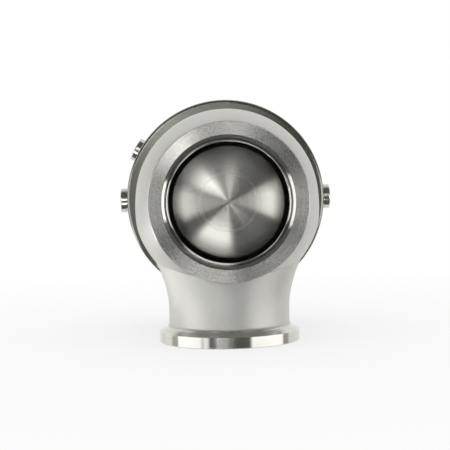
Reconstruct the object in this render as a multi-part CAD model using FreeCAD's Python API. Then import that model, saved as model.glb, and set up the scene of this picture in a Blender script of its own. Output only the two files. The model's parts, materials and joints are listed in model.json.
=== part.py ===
import FreeCAD, Part
import math
import os

# External turbo wastegate, 66 mm valve class. Millimetres, +Z up.
# Origin: centre of the inlet flange face. The valve axis runs along +Y, from the inlet to the
# actuator. The outlet faces -Z, and the gate stands on its outlet flange.
# Turned parts are drawn as half outlines (radius, height) and spun about their own axis.

V = FreeCAD.Vector

# ---- Seat bore, which the rest of the inlet is built around ----
THROAT_R = 31.8
SEAT_LIP_W = 1.4
SEAT_LIP_DROP = 1.2
SEAT_LIP_ROUND = 0.55
SEAT_SLEEVE_WALL = 2.4
SEAT_FLANGE_W = 1.2
SEAT_FLANGE_T = 4.0
SEAT_FACE_BEVEL = 1.5
SEAT_GROOVE_W = 0.7
SEAT_GROOVE_DEPTH = 0.9
SEAT_LIP_R = THROAT_R + SEAT_LIP_W
SEAT_SLEEVE_R = THROAT_R + SEAT_SLEEVE_WALL
SEAT_FLANGE_R = SEAT_SLEEVE_R + SEAT_FLANGE_W

# ---- Inlet V-band flange ----
INLET_NECK_WALL = 3.3
INLET_FLANGE_H = 5.0
INLET_RIM = 5.0
INLET_GROOVE_END = 11.4
FLANK_DEG = 25.0
EDGE_BREAK = 0.4
INLET_GROOVE_R = SEAT_SLEEVE_R + INLET_NECK_WALL
INLET_FLANGE_R = INLET_GROOVE_R + INLET_FLANGE_H

# ---- Valve ----
VALVE_FACE_INSET = 2.5
VALVE_FACE_Y = 6.0
VALVE_HEAD_OVERLAP = 1.2
VALVE_MARGIN = 2.0
VALVE_CROWN = 1.2
TULIP_R = 12.0
TULIP_CORNER = 4.75
CENTRE_MARK_R = 0.9
CENTRE_MARK_DEPTH = 0.6
SEAT_GAP = 0.1
STEM_R = 4.75
STEM_THREAD_R = 4.0
VALVE_LIFT = 13.0
VALVE_FACE_R = THROAT_R - VALVE_FACE_INSET
VALVE_HEAD_R = THROAT_R + VALVE_HEAD_OVERLAP

# ---- Cast housing ----
WALL = 4.2
BULB_R = 52.5
BULB_SHOULDER = 3.1
BULB_WIDEST_Y = 46.0
BULB_REAR_Y = 70.0
BULB_REAR_ROUND = 11.0
REAR_WALL = 6.0
PAD_HEIGHT = 6.0
GUIDE_BOSS_R = 11.5
GUIDE_BOSS_LENGTH = 17.0
GUIDE_R = 7.5
GUIDE_NOSE = 2.0
GUIDE_SINK = 1.0
BULB_FRONT_R = INLET_GROOVE_R + BULB_SHOULDER

# ---- Outlet neck and V-band flange ----
OUTLET_Y = 45.6
OUTLET_DROP = 78.0
OUTLET_FLANGE_H = 5.6
OUTLET_RIM = 6.1
NECK_R = 33.6
NECK_ROOT_ROUND = 2.5
NECK_WALL = 4.0
FLARE_R = 58.0
FLARE_SINK = 1.0
FLARE_TOP_SPREAD = 3.0
FLARE_TOP_Z = -15.0
FLARE_REAR_CLEAR = 1.5
FLARE_REAR_EASE = 1.6
FLARE_STATIONS = 7
OUTLET_FLANGE_R = NECK_R + OUTLET_FLANGE_H

# ---- Bush carrier, stem bush and stem seal ----
CARRIER_R = 17.0
CARRIER_FLANGE_W = 1.6
CARRIER_FLANGE_T = 3.6
CARRIER_FRONT_GAP = 0.3
CARRIER_WAIST_DEPTH = 4.4
COOLANT_RING_W = 6.4
CARRIER_RING_SECTION_R = 0.9
CARRIER_RING_FROM_WAIST = 3.4
BUSH_R = 7.0
BUSH_LENGTH = 12.0
BUSH_SINK = 2.0
STEM_GAP = 0.04
STEM_FREE_GAP = 0.6
SEAL_R = 9.0
SEAL_LENGTH = 5.0
CLIP_GROOVE_DEPTH = 1.4
CLIP_T = 1.2
CLIP_SECTION = 3.4
CLIP_OPEN_DEG = 40.0
CLIP_LAND = 1.2
CARRIER_FLANGE_R = CARRIER_R + CARRIER_FLANGE_W
CARRIER_WAIST_R = CARRIER_R - CARRIER_WAIST_DEPTH
CLIP_R = CARRIER_FLANGE_R + CLIP_GROOVE_DEPTH

# ---- Screws that hold the actuator on the housing ----
SCREW_FROM_CLIP = 7.0
SCREW_FROM_PAD_EDGE = 7.0
SCREW_COUNT = 4
SCREW_ANGLE_DEG = 45.0
SCREW_R = 3.0
SCREW_LENGTH = 30.0
SCREW_HEAD_R = 5.0
SCREW_HEAD_H = 6.0
SCREW_SOCKET_AF = 5.0
SCREW_HOLE_GAP = 0.3
SCREW_POCKET_GAP = 0.3
SCREW_TIP_GAP = 0.5
WASHER_R = 5.4
WASHER_T = 1.0
POCKET_DEPTH = 6.5
SCREW_CIRCLE_R = CLIP_R + SCREW_FROM_CLIP
PAD_R = SCREW_CIRCLE_R + SCREW_FROM_PAD_EDGE

# ---- Actuator body ----
GASKET_T = 1.2
BODY_PAD_HEIGHT = 7.3
BODY_R = 58.2
SHOULDER_ROUND = 1.9
SHOULDER_STEP = 1.2
SHOULDER_LAND_IN = 2.3
FLOOR_T = 21.0
FLOOR_ROUND = 4.2
CLAMP_LAND_W = 7.5
CLAMP_LAND_HEIGHT = 16.5
CAP_BORE_WALL = 4.2
BODY_RIM_OVER_RING = 3.6
FIN_COUNT = 3
FIN_PITCH = 5.0
FIN_GROOVE_W = 2.4
FIN_GROOVE_DEPTH = 1.1
FIN_START = 39.5
LOCATING_GAP = 0.02
SHOULDER_LAND_R = BODY_R - SHOULDER_LAND_IN
CAP_BORE_R = BODY_R - CAP_BORE_WALL
LOWER_CHAMBER_R = CAP_BORE_R - CLAMP_LAND_W

# ---- Ports and plugs ----
COOLANT_PORT_ANGLES = (0.0, 180.0)
COOLANT_PORT_FROM_FACE = 11.2
SIGNAL_PORT_ANGLE = 150.0
SIGNAL_PORT_FROM_FLOOR = 8.0
SIGNAL_DRILL_REACH = 4.2
PORT_THREAD_R = 4.9
PORT_DEPTH = 9.0
PORT_DRILL_R = 3.0
SPOT_FACE_R = 7.6
SPOT_FACE_DROP = 0.8
PLUG_HEAD_R = 7.15
PLUG_HEAD_H = 3.4
PLUG_COLLAR_R = 6.5
PLUG_COLLAR_H = 1.4
PLUG_THREAD_R = 4.85
PLUG_THREAD_L = 7.5
PLUG_SOCKET_AF = 5.0
PLUG_SOCKET_DEPTH = 3.0
PLUG_EDGE_ROUND = 0.9
PLUG_RING_SECTION_R = 0.7

# ---- Cap ----
CAP_SKIRT_WALL = 7.4
CAP_SKIRT_HEIGHT = 15.0
CAP_TOP_T = 5.5
CAP_DOME_IN = 7.0
CAP_DOME_ROUND = 7.0
CAP_DOME_WALL = 4.5
CAP_SPRING_ROOM = 34.0
CAP_BOSS_R = 10.0
CAP_HUB_R = 12.0
CAP_HUB_H = 2.0
CAP_PORT_R = 4.5
CAP_PORT_DEPTH = 12.0
CAP_VENT_R = 2.5
CAP_STOP_RECESS_R = 5.2
CAP_STOP_RECESS = 4.0
STOP_GAP = 0.3
CAP_RING_SECTION_R = 1.3
CAP_RING_FROM_SKIRT = 8.0
LOCK_RING_T = 2.4
LOCK_RING_WIDTH = 6.0
LOCK_GROOVE_DEPTH = 1.9
LOCK_RING_OPEN_DEG = 18.0
LOCK_EAR_R = 3.4
LOCK_EAR_HOLE_R = 1.3
LOCK_EAR_BACK_DEG = 3.6
CAP_SKIRT_WALL_R = CAP_BORE_R - CAP_SKIRT_WALL
CAP_DOME_R = CAP_BORE_R - CAP_DOME_IN

# ---- Diaphragm stack ----
STACK_STANDOFF = 6.3
STACK_GAP = 0.05
DIAPHRAGM_T = 1.2
DIAPHRAGM_CROWN = 8.6
DIAPHRAGM_WALL_GAP = 0.35
ROLL_WIDTH = 7.9
BEAD_IN = 0.8
BEAD_T = 2.2
BEAD_W = 2.6
CUP_WALL = 2.0
CUP_FLOOR_T = 2.4
CUP_CORNER_R = 3.0
CUP_HEIGHT = 16.0
PLATE_IN = 2.7
PLATE_T = 2.0
PLATE_ROUND = 1.6
BORE_GAP = 0.05
STEM_WASHER_R = 9.0
STEM_WASHER_T = 1.5
NUT_AF = 13.0
NUT_H = 6.5
STEM_END_OVER_NUT = 2.5
BEAD_R = CAP_BORE_R - BEAD_IN
CUP_R = CAP_SKIRT_WALL_R - ROLL_WIDTH
PLATE_R = CUP_R - PLATE_IN

# ---- Closing springs, each with one closed and ground coil at either end ----
OUTER_WIRE_R = 2.0
OUTER_ACTIVE_COILS = 2.5
OUTER_FROM_CUP = 3.1
INNER_WIRE_R = 1.6
INNER_ACTIVE_COILS = 3.0
INNER_FROM_OUTER = 6.0
COIL_GAP = 0.2
ARCS_PER_COIL = 10
SPRING_END_GAP = 0.05
SPRING_RIDGE_H = 1.6
SPRING_RIDGE_W = 2.0
SPRING_RIDGE_GAP = 0.4
OUTER_SPRING_R = CUP_R - CUP_WALL - OUTER_FROM_CUP - OUTER_WIRE_R
INNER_SPRING_R = OUTER_SPRING_R - OUTER_WIRE_R - INNER_FROM_OUTER - INNER_WIRE_R

# ---- Stations along the valve axis ----
FLANK = math.tan(math.radians(FLANK_DEG))
PAD_Y = BULB_REAR_Y + PAD_HEIGHT
GASKET_REAR_Y = PAD_Y + GASKET_T
BODY_FACE_Y = GASKET_REAR_Y + BODY_PAD_HEIGHT
FLOOR_Y = BODY_FACE_Y + FLOOR_T
POCKET_Y = FLOOR_Y - POCKET_DEPTH
SCREW_TIP_Y = POCKET_Y + WASHER_T - SCREW_LENGTH
CLAMP_Y = FLOOR_Y + CLAMP_LAND_HEIGHT
CLIP_Y = FLOOR_Y - CLIP_LAND - CLIP_T
CARRIER_FLANGE_Y = CLIP_Y - CARRIER_FLANGE_T
STACK_FRONT_Y = FLOOR_Y + STACK_STANDOFF
CAP_SKIRT_Y = CLAMP_Y + DIAPHRAGM_T
LOCK_RING_Y = CAP_SKIRT_Y + CAP_SKIRT_HEIGHT
BODY_END_Y = LOCK_RING_Y + LOCK_RING_T + BODY_RIM_OVER_RING
DIAPHRAGM_Y = STACK_FRONT_Y + PLATE_T + STACK_GAP
CUP_Y = DIAPHRAGM_Y + DIAPHRAGM_T + STACK_GAP
CUP_FLOOR_Y = CUP_Y + CUP_FLOOR_T
NUT_Y = CUP_FLOOR_Y + STEM_WASHER_T
NUT_END_Y = NUT_Y + NUT_H
STEM_END_Y = NUT_END_Y + STEM_END_OVER_NUT
CAP_CEILING_Y = CUP_FLOOR_Y + CAP_SPRING_ROOM
CAP_TOP_Y = CAP_CEILING_Y + CAP_TOP_T
CAP_BOSS_Y = NUT_END_Y + VALVE_LIFT + STOP_GAP
COOLANT_PORT_Y = BODY_FACE_Y + COOLANT_PORT_FROM_FACE
SIGNAL_PORT_Y = FLOOR_Y + SIGNAL_PORT_FROM_FLOOR
GUIDE_Y = BULB_REAR_Y - REAR_WALL - GUIDE_BOSS_LENGTH


def outline(points):
    """Closed wire in the plane y = 0 from (radius, height) points. A third value rounds that corner."""
    count = len(points)
    corners = [V(p[0], 0, p[1]) for p in points]
    entries = []
    for i, point in enumerate(points):
        corner = corners[i]
        if len(point) < 3:
            entries.append((corner, None, corner))
            continue
        back = (corners[i - 1] - corner).normalize()
        ahead = (corners[(i + 1) % count] - corner).normalize()
        half = back.getAngle(ahead) / 2
        reach = point[2] / math.tan(half)
        bisector = (back + ahead).normalize()
        centre = corner + bisector * (point[2] / math.sin(half))
        middle = centre - bisector * point[2]
        entries.append((corner + back * reach, middle, corner + ahead * reach))
    edges = []
    for i, (start, middle, end) in enumerate(entries):
        if middle is not None:
            edges.append(Part.Arc(start, middle, end).toShape())
        following = entries[(i + 1) % count][0]
        if end.distanceToPoint(following) > 1e-6:
            edges.append(Part.LineSegment(end, following).toShape())
    return Part.Wire(edges)


def spun(face):
    """Full turn of a half outline about +Z, with the seam on the side that ends up on top."""
    solid = face.revolve(V(0, 0, 0), V(0, 0, 1), 360)
    solid.rotate(V(0, 0, 0), V(0, 0, 1), -90)
    return solid


def turned(points):
    return spun(Part.Face(outline(points)))


def on_valve_axis(shape, station=0.0):
    """Lay a shape made along +Z on the valve axis, its height running along +Y."""
    placed = shape.copy()
    placed.rotate(V(0, 0, 0), V(1, 0, 0), -90)
    placed.translate(V(0, station, 0))
    return placed


def on_outlet_axis(shape):
    """Place a shape made along +Z on the outlet axis, heights staying as Z."""
    placed = shape.copy()
    placed.translate(V(0, OUTLET_Y, 0))
    return placed


def on_radius(shape, angle, station):
    """Point a shape made along +Z outwards from the valve axis, at an angle seen from the inlet."""
    placed = shape.copy()
    placed.rotate(V(0, 0, 0), V(0, 1, 0), 90)
    placed.rotate(V(0, 0, 0), V(0, 1, 0), -angle)
    placed.translate(V(0, station, 0))
    return placed


def rod(radius, low, high):
    return Part.makeCylinder(radius, high - low, V(0, 0, low))


def tube(outer, inner, low, high):
    return rod(outer, low, high).cut(rod(inner, low - 1, high + 1))


def hexagon(across_flats, low, high):
    reach = across_flats / math.sqrt(3)
    ring = [
        V(reach * math.cos(math.radians(60 * i)), reach * math.sin(math.radians(60 * i)), low)
        for i in range(6)
    ]
    return Part.Face(Part.makePolygon(ring + ring[:1])).extrude(V(0, 0, high - low))


def screw_places():
    for i in range(SCREW_COUNT):
        turn = math.radians(SCREW_ANGLE_DEG + 360 * i / SCREW_COUNT)
        yield V(SCREW_CIRCLE_R * math.cos(turn), SCREW_CIRCLE_R * math.sin(turn), 0)


def at_screws(shape):
    """One copy of a shape made along +Z at each screw, still along +Z."""
    copies = []
    for place in screw_places():
        copy = shape.copy()
        copy.translate(place)
        copies.append(copy)
    return copies


def export(name, shape):
    shape.exportStep("parts/" + name + ".step")


# ---- Housing ----
def bulb_side(offset):
    """Three points of the bulb's bowed front: where it leaves the groove wall, halfway, widest."""
    front = V(BULB_FRONT_R - offset, 0, INLET_GROOVE_END + offset)
    widest = V(BULB_R - offset, 0, BULB_WIDEST_Y)
    run = widest.z - front.z
    rise = widest.x - front.x
    radius = (run**2 + rise**2) / (2 * rise)
    sweep = math.asin(run / radius) / 2
    centre_x = widest.x - radius
    middle = V(centre_x + radius * math.cos(sweep), 0, widest.z - radius * math.sin(sweep))
    return front, middle, widest


def bulb(offset, rear_y, rear_points, front_points):
    """Bulb body, or the space inside it, closed by two stretches of (radius, height) points."""
    front, middle, widest = bulb_side(offset)
    round_r = BULB_REAR_ROUND - offset
    round_start = V(widest.x, 0, rear_y - round_r)
    round_end = V(widest.x - round_r, 0, rear_y)
    lean = round_r * math.sin(math.radians(45))
    round_middle = V(widest.x - round_r + lean, 0, rear_y - round_r + lean)
    chain = [V(r, 0, h) for r, h in rear_points + front_points]
    chain = [round_end] + chain + [front]
    edges = [
        Part.Arc(front, middle, widest).toShape(),
        Part.LineSegment(widest, round_start).toShape(),
        Part.Arc(round_start, round_middle, round_end).toShape(),
    ]
    edges += [Part.LineSegment(a, b).toShape() for a, b in zip(chain, chain[1:])]
    return spun(Part.Face(Part.Wire(edges)))


def flare_shape():
    """Centre of the flare's side arc, and the height where the arc runs deepest into the bulb."""
    centre_x = NECK_R + FLARE_R
    reach = BULB_R - FLARE_SINK + FLARE_R
    centre_z = -math.sqrt(reach**2 - centre_x**2)
    return centre_x, centre_z, centre_z * (BULB_R - FLARE_SINK) / reach


def neck_section(z, inset):
    """Oval section of the neck at height z. The front stays straight and the back leans forward."""
    centre_x, centre_z, meet_z = flare_shape()
    height = min(z, meet_z) - centre_z
    side = centre_x - math.sqrt(FLARE_R**2 - height**2) - inset
    side += FLARE_TOP_SPREAD * max(0.0, (z - meet_z) / (FLARE_TOP_Z - meet_z))
    front = OUTLET_Y - NECK_R + inset
    low_rear = OUTLET_Y + NECK_R - inset
    high_rear = BULB_REAR_Y - FLARE_REAR_CLEAR - inset
    ease = min(1.0, FLARE_REAR_EASE * height / (meet_z - centre_z))
    ease = ease * ease * (3 - 2 * ease)
    rear = low_rear + (high_rear - low_rear) * ease
    middle = V(0, (front + rear) / 2, z)
    half_turn = math.pi / 2
    if side - (rear - front) / 2 < 1e-6:
        round_section = Part.Circle(middle, V(0, 0, 1), side)
        edge = Part.ArcOfCircle(round_section, half_turn, half_turn + 2 * math.pi)
    else:
        oval = Part.Ellipse(middle + V(side, 0, 0), V(0, rear, z), middle)
        edge = Part.ArcOfEllipse(oval, half_turn, half_turn + 2 * math.pi)
    return Part.Wire(edge.toShape())


def neck(inset):
    """Flare from the round neck up into the bulb."""
    low_z, meet_z = flare_shape()[1:]
    step = (meet_z - low_z) / (FLARE_STATIONS - 1)
    stations = [low_z + step * i for i in range(FLARE_STATIONS)] + [FLARE_TOP_Z]
    return Part.makeLoft([neck_section(z, inset) for z in stations], True, False)


def outlet_spigot():
    """Round neck below the flare, with the outlet V-band flange."""
    top = flare_shape()[1]
    rim_top = OUTLET_RIM - OUTLET_DROP
    flank_top = rim_top + (OUTLET_FLANGE_R - NECK_R) * FLANK
    return turned([
        (0, top),
        (NECK_R, top),
        (NECK_R, flank_top, NECK_ROOT_ROUND),
        (OUTLET_FLANGE_R, rim_top),
        (OUTLET_FLANGE_R, EDGE_BREAK - OUTLET_DROP),
        (OUTLET_FLANGE_R - EDGE_BREAK, -OUTLET_DROP),
        (0, -OUTLET_DROP),
    ])


def valve_housing():
    flank_end = INLET_RIM + (INLET_FLANGE_R - INLET_GROOVE_R) * FLANK
    outside = bulb(0, BULB_REAR_Y, [(PAD_R, BULB_REAR_Y), (PAD_R, PAD_Y), (0, PAD_Y)], [
        (0, 0),
        (INLET_FLANGE_R - EDGE_BREAK, 0),
        (INLET_FLANGE_R, EDGE_BREAK),
        (INLET_FLANGE_R, INLET_RIM),
        (INLET_GROOVE_R, flank_end),
        (INLET_GROOVE_R, INLET_GROOVE_END),
    ])
    register = SEAT_FLANGE_R + LOCATING_GAP
    sleeve_bore = SEAT_SLEEVE_R + LOCATING_GAP
    inside_rear = BULB_REAR_Y - REAR_WALL
    inside = bulb(WALL, inside_rear, [(0, inside_rear)], [
        (0, -1),
        (register, -1),
        (register, SEAT_FLANGE_T),
        (sleeve_bore, SEAT_FLANGE_T),
        (sleeve_bore, INLET_GROOVE_END + EDGE_BREAK),
    ])
    body = on_valve_axis(outside).fuse([neck(0), on_outlet_axis(outlet_spigot())])
    passage = rod(NECK_R - NECK_WALL, -OUTLET_DROP - 1, flare_shape()[1] + 1)
    body = body.cut([on_valve_axis(inside), neck(NECK_WALL), on_outlet_axis(passage)])
    boss = rod(GUIDE_BOSS_R, GUIDE_Y, inside_rear + 1)
    bores = at_screws(rod(SCREW_R + LOCATING_GAP, SCREW_TIP_Y - SCREW_TIP_GAP, PAD_Y + 1))
    bores.append(rod(GUIDE_R + LOCATING_GAP, GUIDE_Y - 1, PAD_Y + 1))
    body = body.fuse(on_valve_axis(boss))
    return body.cut([on_valve_axis(bore) for bore in bores])


def valve_seat():
    lift_gap = SEAT_GAP * math.sqrt(2)
    cone_start = VALVE_FACE_Y + THROAT_R - VALVE_FACE_R - lift_gap
    cone_end_r = VALVE_HEAD_R + SEAT_GAP
    cone_end = cone_start + cone_end_r - THROAT_R
    bevel_r = SEAT_LIP_R + SEAT_GROOVE_W
    groove_bottom = SEAT_FACE_BEVEL + SEAT_GROOVE_DEPTH
    return turned([
        (SEAT_FLANGE_R, EDGE_BREAK / 2),
        (SEAT_FLANGE_R - EDGE_BREAK / 2, 0),
        (bevel_r, SEAT_FACE_BEVEL),
        (bevel_r, groove_bottom),
        (SEAT_LIP_R, groove_bottom),
        (SEAT_LIP_R, SEAT_LIP_DROP, SEAT_LIP_ROUND),
        (THROAT_R, SEAT_LIP_DROP, SEAT_LIP_ROUND),
        (THROAT_R, cone_start),
        (cone_end_r, cone_end),
        (SEAT_SLEEVE_R, cone_end),
        (SEAT_SLEEVE_R, SEAT_FLANGE_T),
        (SEAT_FLANGE_R, SEAT_FLANGE_T),
    ])


def valve():
    margin_y = VALVE_FACE_Y + VALVE_HEAD_R - VALVE_FACE_R
    back_y = margin_y + VALVE_MARGIN
    return turned([
        (0, VALVE_FACE_Y + CENTRE_MARK_DEPTH),
        (CENTRE_MARK_R - CENTRE_MARK_DEPTH, VALVE_FACE_Y + CENTRE_MARK_DEPTH),
        (CENTRE_MARK_R, VALVE_FACE_Y),
        (VALVE_FACE_R, VALVE_FACE_Y),
        (VALVE_HEAD_R, margin_y),
        (VALVE_HEAD_R, back_y),
        (VALVE_HEAD_R - VALVE_CROWN, back_y + VALVE_CROWN),
        (STEM_R, back_y + TULIP_CORNER, TULIP_R),
        (STEM_R, STACK_FRONT_Y),
        (STEM_THREAD_R, STACK_FRONT_Y),
        (STEM_THREAD_R, STEM_END_Y - EDGE_BREAK * 2),
        (STEM_THREAD_R - EDGE_BREAK * 2, STEM_END_Y),
        (0, STEM_END_Y),
    ])


def valve_guide():
    return tube(GUIDE_R, STEM_R + STEM_GAP, GUIDE_Y - GUIDE_NOSE, PAD_Y - GUIDE_SINK)


def heat_gasket():
    ring = tube(PAD_R, GUIDE_R + LOCATING_GAP, PAD_Y, GASKET_REAR_Y)
    return ring.cut(at_screws(rod(SCREW_R + SCREW_HOLE_GAP, PAD_Y - 1, GASKET_REAR_Y + 1)))


# ---- Actuator body ----
def fin_grooves():
    grooves = []
    for i in range(FIN_COUNT):
        start = BODY_FACE_Y + FIN_START + FIN_PITCH * i
        grooves.append(tube(BODY_R + 1, BODY_R - FIN_GROOVE_DEPTH, start, start + FIN_GROOVE_W))
    return grooves


def port(angle, station, drill_to):
    """Threaded port: flat for the plug, recess for its ring, thread, and the drilling behind."""
    flat = BODY_R - SPOT_FACE_DROP
    ring_recess = PLUG_THREAD_R + 2 * PLUG_RING_SECTION_R + 2 * LOCATING_GAP
    cutter = rod(SPOT_FACE_R, flat, BODY_R + 1).fuse([
        rod(ring_recess, flat - 2 * PLUG_RING_SECTION_R - LOCATING_GAP, flat + 1),
        rod(PORT_THREAD_R, flat - PORT_DEPTH, flat + 1),
        rod(PORT_DRILL_R, drill_to, flat),
    ])
    return on_radius(cutter, angle, station)


def actuator_body():
    bead_floor = CLAMP_Y - (BEAD_T - DIAPHRAGM_T)
    bead_inner = BEAD_R - BEAD_W - LOCATING_GAP
    groove_r = CAP_BORE_R + LOCK_GROOVE_DEPTH
    lock_end = LOCK_RING_Y + LOCK_RING_T + LOCATING_GAP
    shoulder_y = BODY_FACE_Y + SHOULDER_STEP
    flange_bore = CARRIER_FLANGE_R + LOCATING_GAP
    clip_groove = CLIP_R + LOCATING_GAP
    clip_end = CLIP_Y + CLIP_T + LOCATING_GAP
    carrier_bore = CARRIER_R + LOCATING_GAP
    body = turned([
        (carrier_bore, GASKET_REAR_Y),
        (PAD_R, GASKET_REAR_Y),
        (PAD_R, BODY_FACE_Y),
        (SHOULDER_LAND_R, BODY_FACE_Y),
        (SHOULDER_LAND_R, shoulder_y),
        (BODY_R, shoulder_y, SHOULDER_ROUND),
        (BODY_R, BODY_END_Y - EDGE_BREAK * 2),
        (BODY_R - EDGE_BREAK * 2, BODY_END_Y),
        (CAP_BORE_R + EDGE_BREAK, BODY_END_Y),
        (CAP_BORE_R, BODY_END_Y - EDGE_BREAK),
        (CAP_BORE_R, lock_end),
        (groove_r, lock_end),
        (groove_r, LOCK_RING_Y),
        (CAP_BORE_R, LOCK_RING_Y),
        (CAP_BORE_R, CLAMP_Y),
        (BEAD_R + LOCATING_GAP, CLAMP_Y),
        (BEAD_R + LOCATING_GAP, bead_floor),
        (bead_inner, bead_floor),
        (bead_inner, CLAMP_Y),
        (LOWER_CHAMBER_R, CLAMP_Y),
        (LOWER_CHAMBER_R, FLOOR_Y, FLOOR_ROUND),
        (flange_bore, FLOOR_Y),
        (flange_bore, clip_end),
        (clip_groove, clip_end),
        (clip_groove, CLIP_Y),
        (flange_bore, CLIP_Y),
        (flange_bore, CARRIER_FLANGE_Y),
        (carrier_bore, CARRIER_FLANGE_Y),
    ])
    hole = rod(SCREW_R + SCREW_HOLE_GAP, GASKET_REAR_Y - 1, FLOOR_Y)
    pocket = rod(WASHER_R + SCREW_POCKET_GAP, POCKET_Y, FLOOR_Y + 1)
    cuts = [on_valve_axis(cut) for cut in fin_grooves() + at_screws(hole) + at_screws(pocket)]
    cuts += [port(angle, COOLANT_PORT_Y, CARRIER_WAIST_R) for angle in COOLANT_PORT_ANGLES]
    cuts.append(port(SIGNAL_PORT_ANGLE, SIGNAL_PORT_Y, LOWER_CHAMBER_R - SIGNAL_DRILL_REACH))
    return on_valve_axis(body).cut(cuts)


def body_screws():
    seat = POCKET_Y + WASHER_T
    shank = rod(SCREW_R, SCREW_TIP_Y, seat)
    head = turned([
        (0, seat),
        (SCREW_HEAD_R, seat),
        (SCREW_HEAD_R, seat + SCREW_HEAD_H, EDGE_BREAK),
        (0, seat + SCREW_HEAD_H),
    ])
    socket = hexagon(SCREW_SOCKET_AF, seat + SCREW_HEAD_H / 2, seat + SCREW_HEAD_H + 1)
    return Part.makeCompound(at_screws(shank.fuse(head).cut(socket)))


def body_washers():
    washer = tube(WASHER_R, SCREW_R + LOCATING_GAP, POCKET_Y, POCKET_Y + WASHER_T)
    return Part.makeCompound(at_screws(washer))


# ---- Bush carrier and what it holds ----
def ring_groove(outer, station):
    """Groove that an O-ring of the carrier lies in."""
    half = CARRIER_RING_SECTION_R + LOCATING_GAP
    return tube(outer + 1, outer - 2 * CARRIER_RING_SECTION_R, station - half, station + half)


def o_ring(outer, section, station):
    return Part.makeTorus(outer - section, section, V(0, 0, station), V(0, 0, 1))


def carrier_ring_places():
    """(outer radius, station) of the O-rings in front of and behind the coolant ring."""
    waist_start = COOLANT_PORT_Y - COOLANT_RING_W / 2
    return (
        (CARRIER_R, waist_start - CARRIER_RING_FROM_WAIST),
        (CARRIER_FLANGE_R, CARRIER_FLANGE_Y + CARRIER_FLANGE_T / 2),
    )


def bush_carrier():
    front = GASKET_REAR_Y + CARRIER_FRONT_GAP
    waist_start = COOLANT_PORT_Y - COOLANT_RING_W / 2
    waist_end = COOLANT_PORT_Y + COOLANT_RING_W / 2
    bush_bore = BUSH_R + LOCATING_GAP
    bush_seat = front + BUSH_SINK + BUSH_LENGTH
    seal_bore = SEAL_R + LOCATING_GAP
    seal_seat = CLIP_Y - SEAL_LENGTH
    free_r = STEM_R + STEM_FREE_GAP
    carrier = turned([
        (bush_bore, front),
        (CARRIER_R, front),
        (CARRIER_R, waist_start),
        (CARRIER_WAIST_R, waist_start),
        (CARRIER_WAIST_R, waist_end),
        (CARRIER_R, waist_end),
        (CARRIER_R, CARRIER_FLANGE_Y),
        (CARRIER_FLANGE_R, CARRIER_FLANGE_Y),
        (CARRIER_FLANGE_R, CLIP_Y),
        (seal_bore, CLIP_Y),
        (seal_bore, seal_seat),
        (free_r, seal_seat),
        (free_r, bush_seat),
        (bush_bore, bush_seat),
    ])
    return carrier.cut([ring_groove(outer, station) for outer, station in carrier_ring_places()])


def stem_bush():
    start = GASKET_REAR_Y + CARRIER_FRONT_GAP + BUSH_SINK
    return tube(BUSH_R, STEM_R + STEM_GAP, start, start + BUSH_LENGTH)


def stem_seal():
    lip = STEM_R + STEM_GAP
    waist = lip + (SEAL_R - lip) / 3
    start = CLIP_Y - SEAL_LENGTH
    middle = start + SEAL_LENGTH / 2
    return turned([
        (lip, start),
        (SEAL_R, start),
        (SEAL_R, CLIP_Y),
        (lip + (waist - lip) / 2, CLIP_Y),
        (lip, CLIP_Y - EDGE_BREAK),
        (waist, middle),
    ])


def carrier_o_rings():
    rings = [
        o_ring(outer, CARRIER_RING_SECTION_R, station) for outer, station in carrier_ring_places()
    ]
    return Part.makeCompound(rings)


def split_ring(outer, inner, low, high, open_deg):
    """Snap ring with its gap at the top."""
    reach = 2 * outer
    half = math.radians(open_deg / 2)
    gap_side = V(-reach * math.sin(half), -reach * math.cos(half), low - 1)
    far_side = V(reach * math.sin(half), -reach * math.cos(half), low - 1)
    centre = V(0, 0, low - 1)
    gap = Part.Face(Part.makePolygon([centre, gap_side, far_side, centre]))
    return tube(outer, inner, low, high).cut(gap.extrude(V(0, 0, high - low + 2)))


def carrier_clip():
    return split_ring(CLIP_R, CLIP_R - CLIP_SECTION, CLIP_Y, CLIP_Y + CLIP_T, CLIP_OPEN_DEG)


# ---- Plugs ----
def plug():
    flat = BODY_R - SPOT_FACE_DROP
    head_start = flat + PLUG_COLLAR_H
    head_end = head_start + PLUG_HEAD_H
    body = turned([
        (0, flat - PLUG_THREAD_L),
        (PLUG_THREAD_R - EDGE_BREAK, flat - PLUG_THREAD_L),
        (PLUG_THREAD_R, flat - PLUG_THREAD_L + EDGE_BREAK),
        (PLUG_THREAD_R, flat),
        (PLUG_COLLAR_R, flat),
        (PLUG_COLLAR_R, head_start),
        (PLUG_HEAD_R, head_start, EDGE_BREAK / 2),
        (PLUG_HEAD_R, head_end, PLUG_EDGE_ROUND),
        (0, head_end),
    ])
    return body.cut(hexagon(PLUG_SOCKET_AF, head_end - PLUG_SOCKET_DEPTH, head_end + 1))


def port_places():
    places = [(angle, COOLANT_PORT_Y) for angle in COOLANT_PORT_ANGLES]
    return places + [(SIGNAL_PORT_ANGLE, SIGNAL_PORT_Y)]


def coolant_plugs():
    return Part.makeCompound([
        on_radius(plug(), angle, COOLANT_PORT_Y) for angle in COOLANT_PORT_ANGLES
    ])


def signal_plug():
    return on_radius(plug(), SIGNAL_PORT_ANGLE, SIGNAL_PORT_Y)


def plug_o_rings():
    outer = PLUG_THREAD_R + 2 * PLUG_RING_SECTION_R + LOCATING_GAP
    station = BODY_R - SPOT_FACE_DROP - PLUG_RING_SECTION_R - LOCATING_GAP / 2
    ring = o_ring(outer, PLUG_RING_SECTION_R, station)
    return Part.makeCompound([on_radius(ring, angle, y) for angle, y in port_places()])


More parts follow.
